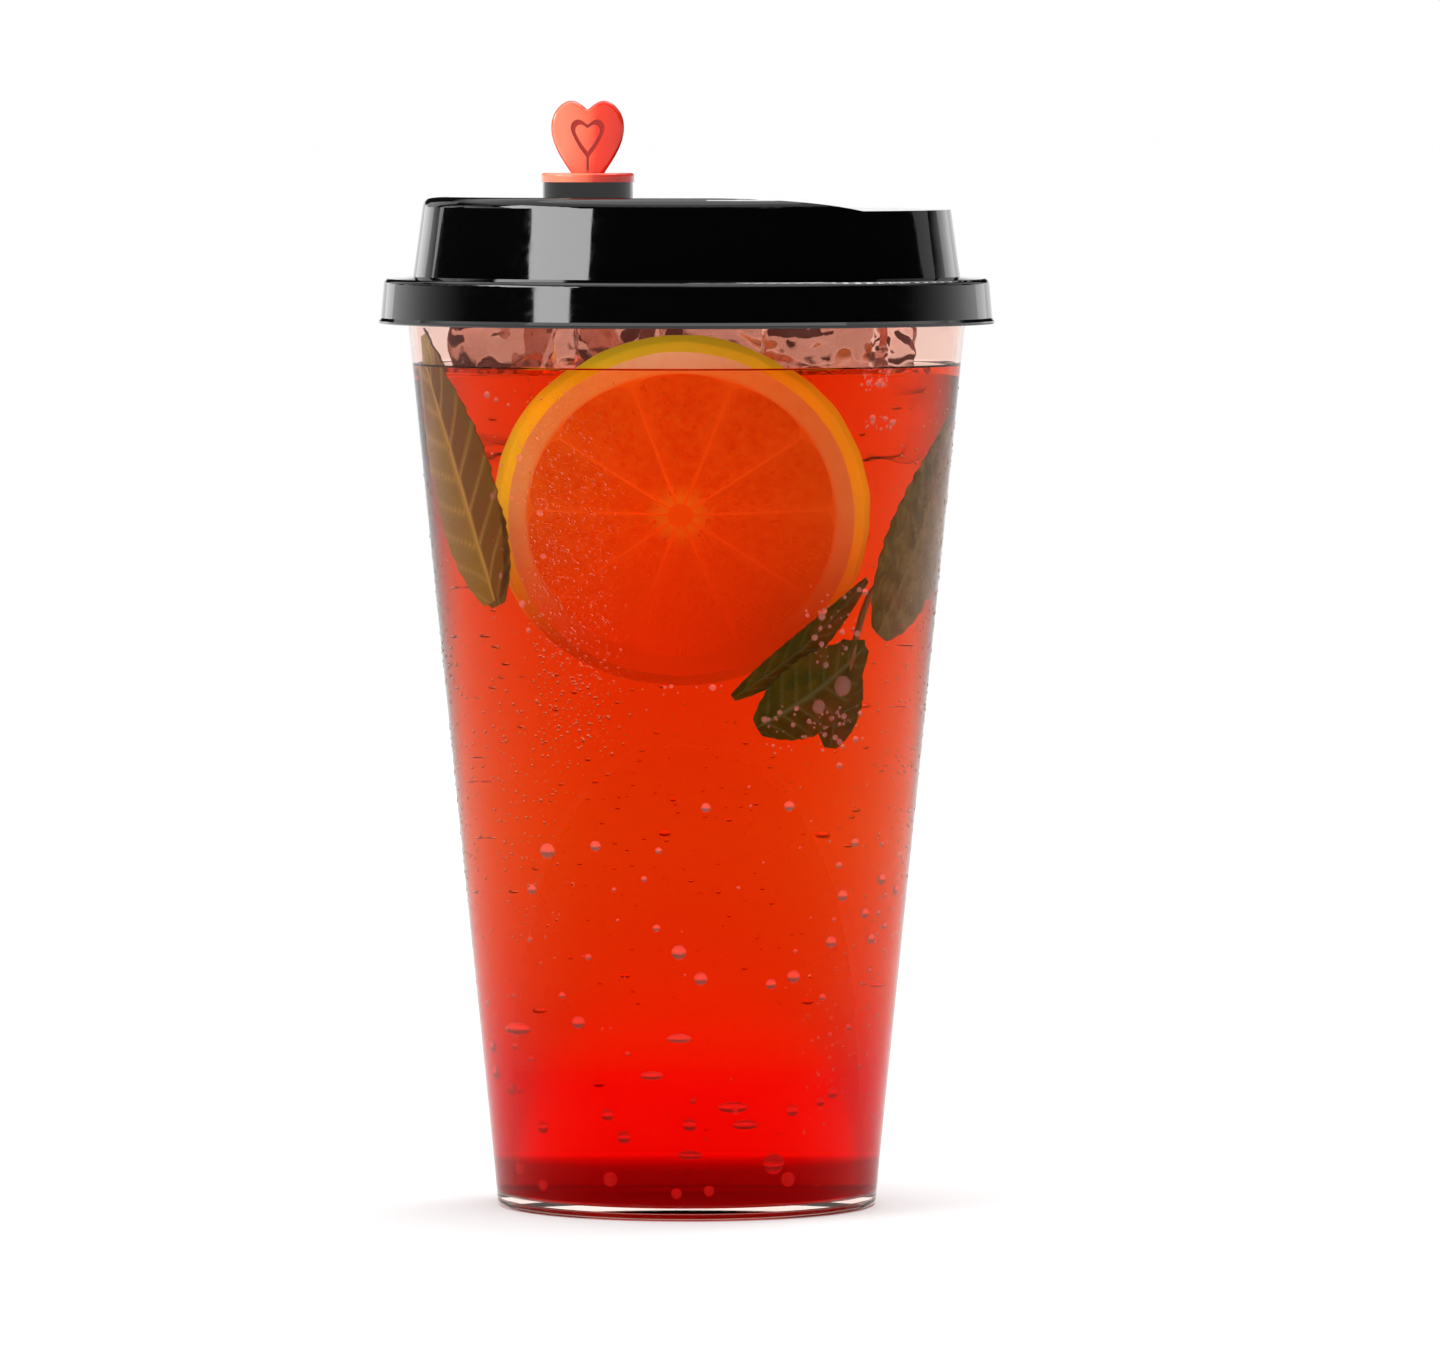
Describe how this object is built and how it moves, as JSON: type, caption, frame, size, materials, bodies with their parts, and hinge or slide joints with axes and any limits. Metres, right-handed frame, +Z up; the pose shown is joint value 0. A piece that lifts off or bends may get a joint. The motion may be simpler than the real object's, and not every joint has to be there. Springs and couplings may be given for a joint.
{
  "type": "lidded takeaway drink cup",
  "caption": "Clear takeaway cup of iced fruit drink with citrus and mint, closed by a black press-on lid whose spout takes a heart-shaped stopper.",
  "frame": {"origin": "centre of the cup's foot, on the surface that it stands on", "axes": "+Z up along the cup's axis, -Y towards the front, where the heart faces, +X to the right"},
  "size_m": [0.0942, 0.0942, 0.1691],
  "materials": {
    "cup_clear": "gloss",
    "lid_black": "gloss",
    "stopper_red": "gloss",
    "drink_red": "gloss",
    "syrup_red": "gloss",
    "citrus_rind_skin": "satin",
    "citrus_pith_white": "matte",
    "citrus_flesh_red": "gloss",
    "ice_clear": "gloss",
    "mint_green": "satin",
    "mint_stem_green": "satin"
  },
  "bodies": {
    "cup": {"cup": "cup_clear", "drink": "drink_red", "syrup_layer": "syrup_red", "citrus_rind": "citrus_rind_skin", "citrus_pith": "citrus_pith_white", "citrus_flesh": "citrus_flesh_red", "ice_left": "ice_clear", "ice_right": "ice_clear", "ice_right_edge": "ice_clear", "ice_middle": "ice_clear", "ice_rear": "ice_clear", "ice_rear_left": "ice_clear", "mint_leaf_left": "mint_green", "mint_leaf_left_low": "mint_green", "mint_leaf_right": "mint_green", "mint_leaf_right_edge": "mint_green", "mint_leaf_narrow": "mint_green", "mint_leaf_low": "mint_green", "mint_leaf_low_tip": "mint_green", "mint_stem": "mint_stem_green"},
    "lid": {"lid": "lid_black"},
    "stopper": {"stopper": "stopper_red"}
  },
  "joints": [
    {"name": "lid_lift", "type": "slide", "parent": "cup", "child": "lid", "axis": [0, 0, 1], "range_m": [0, 0.04]},
    {"name": "stopper_pull", "type": "slide", "parent": "lid", "child": "stopper", "axis": [0, 0, 1], "range_m": [0, 0.02]}
  ]
}
